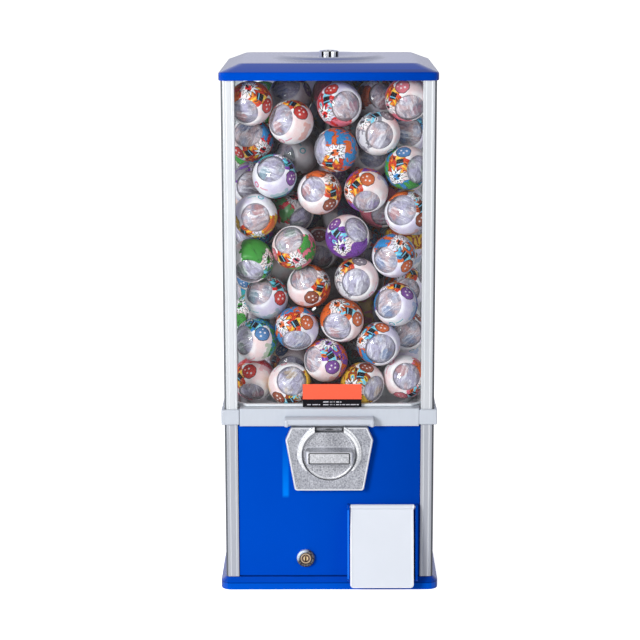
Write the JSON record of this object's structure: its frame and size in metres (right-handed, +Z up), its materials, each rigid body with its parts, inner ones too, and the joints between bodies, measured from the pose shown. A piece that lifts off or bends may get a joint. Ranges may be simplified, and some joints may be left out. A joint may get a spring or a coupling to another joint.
{
  "type": "capsule vending machine",
  "caption": "Tall square coin-operated capsule vending machine with clear windows, pressed metal base and lid, coin dial, chute flap and locks.",
  "frame": {"origin": "middle of the flat underside of the base", "axes": "+Z up, -Y towards the front with the coin dial and the flap, +X to the right seen from the front"},
  "size_m": [0.26, 0.282, 0.635],
  "materials": {
    "blue_paint": "gloss powder coat",
    "anodised_aluminium": "satin anodised extrusion",
    "grey_plastic": "satin moulded",
    "clear_acrylic": "clear polished sheet",
    "label_print": "printed film",
    "white_plastic": "satin moulded",
    "die_cast_zinc": "plated die casting with a grained ground",
    "plated_steel": "zinc plated",
    "lock_chrome": "polished",
    "lock_brass": "machined",
    "capsule_plastic": "clear moulded capsules with printed bands"
  },
  "bodies": {
    "cabinet": {"base_tray": "blue_paint", "lower_post_front_left": "anodised_aluminium", "lower_post_front_right": "anodised_aluminium", "lower_post_rear_left": "anodised_aluminium", "lower_post_rear_right": "anodised_aluminium", "upper_post_front_left": "anodised_aluminium", "upper_post_front_right": "anodised_aluminium", "upper_post_rear_left": "anodised_aluminium", "upper_post_rear_right": "anodised_aluminium", "corner_sleeve_front_left": "grey_plastic", "corner_sleeve_front_right": "grey_plastic", "corner_sleeve_rear_left": "grey_plastic", "corner_sleeve_rear_right": "grey_plastic", "rail_front": "grey_plastic", "rail_rear": "grey_plastic", "rail_left": "grey_plastic", "rail_right": "grey_plastic", "side_panel_left": "blue_paint", "side_panel_right": "blue_paint", "rear_panel": "blue_paint", "window_front": "clear_acrylic", "window_rear": "clear_acrylic", "window_left": "clear_acrylic", "window_right": "clear_acrylic", "window_label": "label_print", "rod_foot": "plated_steel", "centre_rod": "plated_steel", "rod_strike_cup": "plated_steel", "hopper_tray": "white_plastic", "wheel_collar": "plated_steel", "pan_clamp_nut": "plated_steel", "exit_guard": "white_plastic", "chute": "white_plastic", "capsule_load": "capsule_plastic"},
    "service_door": {"service_panel": "blue_paint", "coin_mech_plate": "die_cast_zinc", "coin_mech_housing": "die_cast_zinc", "mech_clamp_screw_left": "plated_steel", "mech_clamp_screw_right": "plated_steel", "chute_frame": "blue_paint", "flap_hinge_pin": "plated_steel", "cam_lock_body": "lock_chrome", "cam_lock_nut": "plated_steel", "cash_box": "plated_steel"},
    "dial": {"coin_dial_handle": "die_cast_zinc", "coin_mech_shaft": "plated_steel", "coin_carrier": "plated_steel", "drive_gear": "plated_steel", "drive_gear_screw": "plated_steel"},
    "wheel": {"dispensing_wheel": "white_plastic"},
    "flap": {"chute_flap": "white_plastic"},
    "panel_lock": {"cam_lock_plug": "lock_brass", "cam_lock_cam": "plated_steel"},
    "top_lid": {"lid": "blue_paint", "lid_lock_body": "lock_chrome", "lid_lock_nut": "plated_steel"},
    "lid_lock": {"lid_lock_plug": "lock_brass", "lid_lock_cam": "plated_steel"}
  },
  "joints": [
    {"name": "service_door_slide", "type": "slide", "parent": "cabinet", "child": "service_door", "axis": [0, -1, 0], "range_m": [0, 0.12]},
    {"name": "dial_turn", "type": "hinge", "parent": "service_door", "child": "dial", "pos_m": [0, -0.132, 0.1687], "axis": [0, 1, 0], "continuous": true},
    {"name": "wheel_turn", "type": "hinge", "parent": "cabinet", "child": "wheel", "pos_m": [0, 0, 0.1875], "axis": [0, 0, 1], "continuous": true},
    {"name": "flap_swing", "type": "hinge", "parent": "service_door", "child": "flap", "pos_m": [0.0633, -0.1275, 0.1025], "axis": [-1, 0, 0], "range_deg": [0, 75]},
    {"name": "panel_lock_turn", "type": "hinge", "parent": "service_door", "child": "panel_lock", "pos_m": [-0.0284, -0.122, 0.0378], "axis": [0, 1, 0], "range_deg": [0, 90]},
    {"name": "lid_lift", "type": "slide", "parent": "cabinet", "child": "top_lid", "axis": [0, 0, 1], "range_m": [0, 0.1]},
    {"name": "lid_lock_turn", "type": "hinge", "parent": "top_lid", "child": "lid_lock", "pos_m": [0, 0, 0.6264], "axis": [0, 0, 1], "range_deg": [0, 90]}
  ],
  "couplings": [
    {"joint": "wheel_turn", "follows": "dial_turn", "ratio": 0.2}
  ]
}
